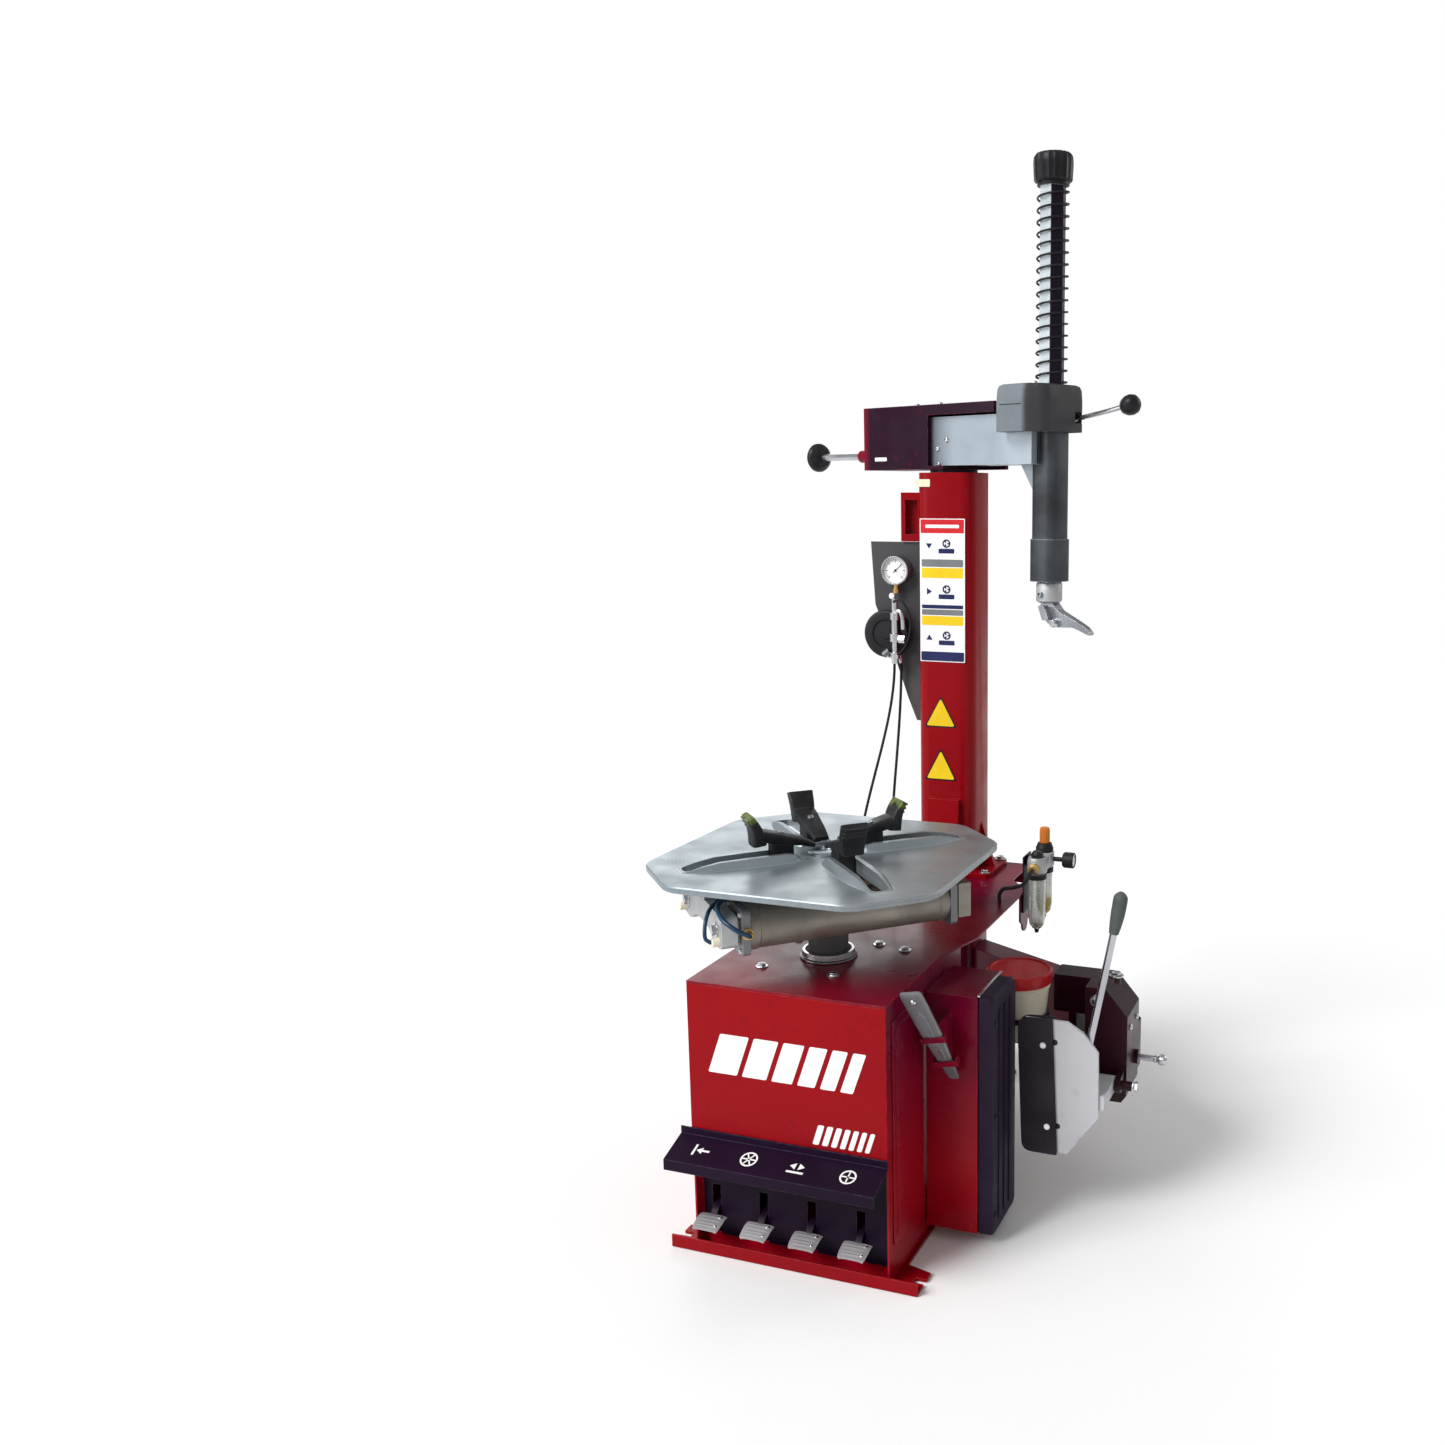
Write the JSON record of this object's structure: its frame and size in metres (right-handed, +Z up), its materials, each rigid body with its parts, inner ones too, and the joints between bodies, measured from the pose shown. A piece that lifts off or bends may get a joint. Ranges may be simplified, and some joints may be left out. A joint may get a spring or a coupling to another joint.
{
  "type": "tire changer machine",
  "caption": "Swing-arm tire changer: pedal cabinet, jaw turntable, column with sliding mount head arm, bead breaker and air unit.",
  "frame": {"origin": "turntable axis at floor level, on the underside of the base plate", "axes": "+X to the operator's right (bead breaker side), +Y to the rear (column), +Z up; the pedals face -Y"},
  "size_m": [0.9693, 1.0719, 2.015],
  "materials": {
    "red_paint": "gloss powder coat",
    "dark_red_paint": "gloss powder coat",
    "black_paint": "satin powder coat",
    "grey_paint": "satin paint",
    "table_steel": "satin with a blue-grey cast",
    "bright_steel": "polished",
    "machined_steel": "machined",
    "cylinder_metal": "drawn tube, slightly stained",
    "cast_iron": "cast, lightly oiled",
    "jaw_black": "satin black with worn tips",
    "rubber": "moulded matt",
    "black_plastic": "moulded, fine grain",
    "grey_plastic": "moulded, fine grain",
    "clear_bowl": "translucent polycarbonate",
    "cream_plastic": "moulded",
    "lid_plastic": "moulded",
    "orange_plastic": "moulded",
    "motor_paint": "satin enamel",
    "valve_metal": "die cast"
  },
  "bodies": {
    "root": {"base_plate": "red_paint", "cabinet_shell": "dark_red_paint", "front_panel": "red_paint", "cabinet_top": "dark_red_paint", "side_cover": "dark_red_paint", "pedal_hood": "black_plastic", "pedal_shaft": "machined_steel", "pad_bracket": "dark_red_paint", "wheel_pad": "rubber", "drive_motor": "motor_paint", "worm_gearbox": "cast_iron", "drive_belt": "rubber", "valve_rack": "valve_metal", "column": "red_paint", "rear_support": "dark_red_paint", "gauge_panel": "black_paint", "pressure_gauge": "bright_steel", "inflator_unit": "black_plastic", "inflator_hose": "rubber", "gauge_air_line": "rubber", "air_service_unit": "valve_metal", "filter_bowl": "clear_bowl", "lubricator_bowl": "clear_bowl", "service_hose": "rubber", "bucket_holder": "black_paint", "bead_arm_bracket": "dark_red_paint"},
    "pedal_breaker": {"pedal_breaker": "cast_iron"},
    "pedal_clamp": {"pedal_clamp": "cast_iron"},
    "pedal_column": {"pedal_column": "cast_iron"},
    "pedal_rotate": {"pedal_rotate": "cast_iron"},
    "stored_lever": {"tyre_lever": "machined_steel"},
    "motor_pulley": {"motor_pulley": "machined_steel"},
    "gearbox_pulley": {"gearbox_pulley": "machined_steel"},
    "turntable": {"turntable_plate": "table_steel", "turntable_spindle": "machined_steel"},
    "jaw_left_front": {"jaw_left_front": "jaw_black", "clamp_cylinders": "cylinder_metal"},
    "jaw_right_rear": {"jaw_right_rear": "jaw_black", "clamp_rods": "machined_steel"},
    "jaw_left_rear": {"jaw_left_rear": "jaw_black"},
    "jaw_right_front": {"jaw_right_front": "jaw_black"},
    "regulator_knob": {"regulator_knob": "orange_plastic"},
    "bucket": {"soap_bucket": "cream_plastic"},
    "bucket_lid": {"bucket_lid": "lid_plastic"},
    "breaker_cylinder": {"breaker_cylinder": "black_paint"},
    "breaker_rod": {"breaker_rod": "bright_steel"},
    "bead_arm": {"bead_arm": "dark_red_paint"},
    "stop_pin": {"arm_stop_pin": "bright_steel"},
    "blade": {"bead_blade": "grey_paint", "blade_cover": "black_plastic", "blade_handle": "bright_steel"},
    "swing_arm": {"swing_arm": "dark_red_paint"},
    "horizontal_arm": {"horizontal_arm": "table_steel", "lock_cover": "grey_plastic", "shaft_spring": "machined_steel"},
    "lock_lever": {"lock_lever": "bright_steel"},
    "hex_shaft": {"hex_shaft": "machined_steel", "mount_head": "bright_steel"},
    "star_knob": {"star_knob": "black_plastic"}
  },
  "joints": [
    {"name": "pedal_breaker_press", "type": "hinge", "parent": "root", "child": "pedal_breaker", "pos_m": [-0.15, -0.06, 0.1], "axis": [1, 0, 0], "range_deg": [0, 9], "stiffness_Nm_per_rad": 30, "springref_deg": -3.44},
    {"name": "pedal_clamp_press", "type": "hinge", "parent": "root", "child": "pedal_clamp", "pos_m": [-0.055, -0.06, 0.1], "axis": [1, 0, 0], "range_deg": [0, 9], "stiffness_Nm_per_rad": 30, "springref_deg": -3.44},
    {"name": "pedal_column_press", "type": "hinge", "parent": "root", "child": "pedal_column", "pos_m": [0.04, -0.06, 0.1], "axis": [1, 0, 0], "range_deg": [0, 9], "stiffness_Nm_per_rad": 30, "springref_deg": -3.44},
    {"name": "pedal_rotate_press", "type": "hinge", "parent": "root", "child": "pedal_rotate", "pos_m": [0.135, -0.06, 0.1], "axis": [1, 0, 0], "range_deg": [-6, 9], "stiffness_Nm_per_rad": 30, "springref_deg": -1.15},
    {"name": "lever_lift_out", "type": "slide", "parent": "root", "child": "stored_lever", "axis": [-0.1667, -0.5, 0.8498], "range_m": [0, 0.05]},
    {"name": "turntable_spin", "type": "hinge", "parent": "root", "child": "turntable", "pos_m": [0, 0, 0.7], "axis": [0, 0, 1], "continuous": true},
    {"name": "gearbox_pulley_spin", "type": "hinge", "parent": "root", "child": "gearbox_pulley", "pos_m": [-0.141, 0.065, 0.4], "axis": [1, 0, 0], "continuous": true},
    {"name": "motor_pulley_spin", "type": "hinge", "parent": "root", "child": "motor_pulley", "pos_m": [-0.141, 0.065, 0.084], "axis": [1, 0, 0], "continuous": true},
    {"name": "jaw_left_front_slide", "type": "slide", "parent": "turntable", "child": "jaw_left_front", "axis": [-0.7071, -0.7071, 0], "range_m": [0, 0.15]},
    {"name": "jaw_right_rear_slide", "type": "slide", "parent": "turntable", "child": "jaw_right_rear", "axis": [0.7071, 0.7071, 0], "range_m": [0, 0.15]},
    {"name": "jaw_left_rear_slide", "type": "slide", "parent": "turntable", "child": "jaw_left_rear", "axis": [-0.7071, 0.7071, 0], "range_m": [0, 0.15]},
    {"name": "jaw_right_front_slide", "type": "slide", "parent": "turntable", "child": "jaw_right_front", "axis": [0.7071, -0.7071, 0], "range_m": [0, 0.15]},
    {"name": "regulator_turn", "type": "hinge", "parent": "root", "child": "regulator_knob", "pos_m": [0.264, 0.526, 0.63], "axis": [0, 0, 1], "range_deg": [-360, 360]},
    {"name": "bucket_lift", "type": "slide", "parent": "root", "child": "bucket", "axis": [0, 0, 1], "range_m": [0, 0.085]},
    {"name": "lid_lift", "type": "slide", "parent": "bucket", "child": "bucket_lid", "axis": [0, 0, 1], "range_m": [0, 0.04]},
    {"name": "bead_arm_swing", "type": "hinge", "parent": "root", "child": "bead_arm", "pos_m": [0.385, 0.465, 0.28], "axis": [0, 0, 1], "range_deg": [0, 40]},
    {"name": "breaker_cylinder_swing", "type": "hinge", "parent": "root", "child": "breaker_cylinder", "pos_m": [-0.17, 0.29, 0.295], "axis": [0, 0, 1], "range_deg": [0, 7.4]},
    {"name": "breaker_rod_slide", "type": "slide", "parent": "breaker_cylinder", "child": "breaker_rod", "axis": [1, 0, 0], "range_m": [0, 0.102]},
    {"name": "stop_pin_pull", "type": "slide", "parent": "bead_arm", "child": "stop_pin", "axis": [1, 0, 0], "range_m": [0, 0.02], "stiffness_N_per_m": 400, "springref_m": -0.02},
    {"name": "blade_tilt", "type": "hinge", "parent": "bead_arm", "child": "blade", "pos_m": [0.475, 0.188, 0.254], "axis": [1, 0, 0], "range_deg": [-8, 8]},
    {"name": "swing_arm_turn", "type": "hinge", "parent": "root", "child": "swing_arm", "pos_m": [0.022, 0.63, 1.4], "axis": [0, 0, 1], "range_deg": [-66, 24]},
    {"name": "arm_extend", "type": "slide", "parent": "swing_arm", "child": "horizontal_arm", "axis": [0.9114, -0.4115, 0], "range_m": [0, 0.24]},
    {"name": "star_knob_turn", "type": "hinge", "parent": "swing_arm", "child": "star_knob", "pos_m": [-0.26788, 0.717, 1.438], "axis": [0.9114, -0.4115, 0], "range_deg": [-720, 720]},
    {"name": "lock_lever_turn", "type": "hinge", "parent": "horizontal_arm", "child": "lock_lever", "pos_m": [0.31121, 0.54879, 1.503], "axis": [0, 0, 1], "range_deg": [-20, 20]},
    {"name": "shaft_lower", "type": "slide", "parent": "horizontal_arm", "child": "hex_shaft", "axis": [0, 0, 1], "range_m": [-0.27, 0], "stiffness_N_per_m": 300, "springref_m": 0.6, "deforming": ["shaft_spring"]}
  ],
  "couplings": [
    {"joint": "gearbox_pulley_spin", "follows": "turntable_spin", "ratio": 30},
    {"joint": "motor_pulley_spin", "follows": "turntable_spin", "ratio": 75},
    {"joint": "jaw_right_rear_slide", "follows": "jaw_left_front_slide", "ratio": 1},
    {"joint": "jaw_left_rear_slide", "follows": "jaw_left_front_slide", "ratio": 1},
    {"joint": "jaw_right_front_slide", "follows": "jaw_left_front_slide", "ratio": 1},
    {"joint": "breaker_cylinder_swing", "follows": "bead_arm_swing", "ratio": 0.1825},
    {"joint": "breaker_rod_slide", "follows": "bead_arm_swing", "m_per_rad": 0.1453}
  ]
}
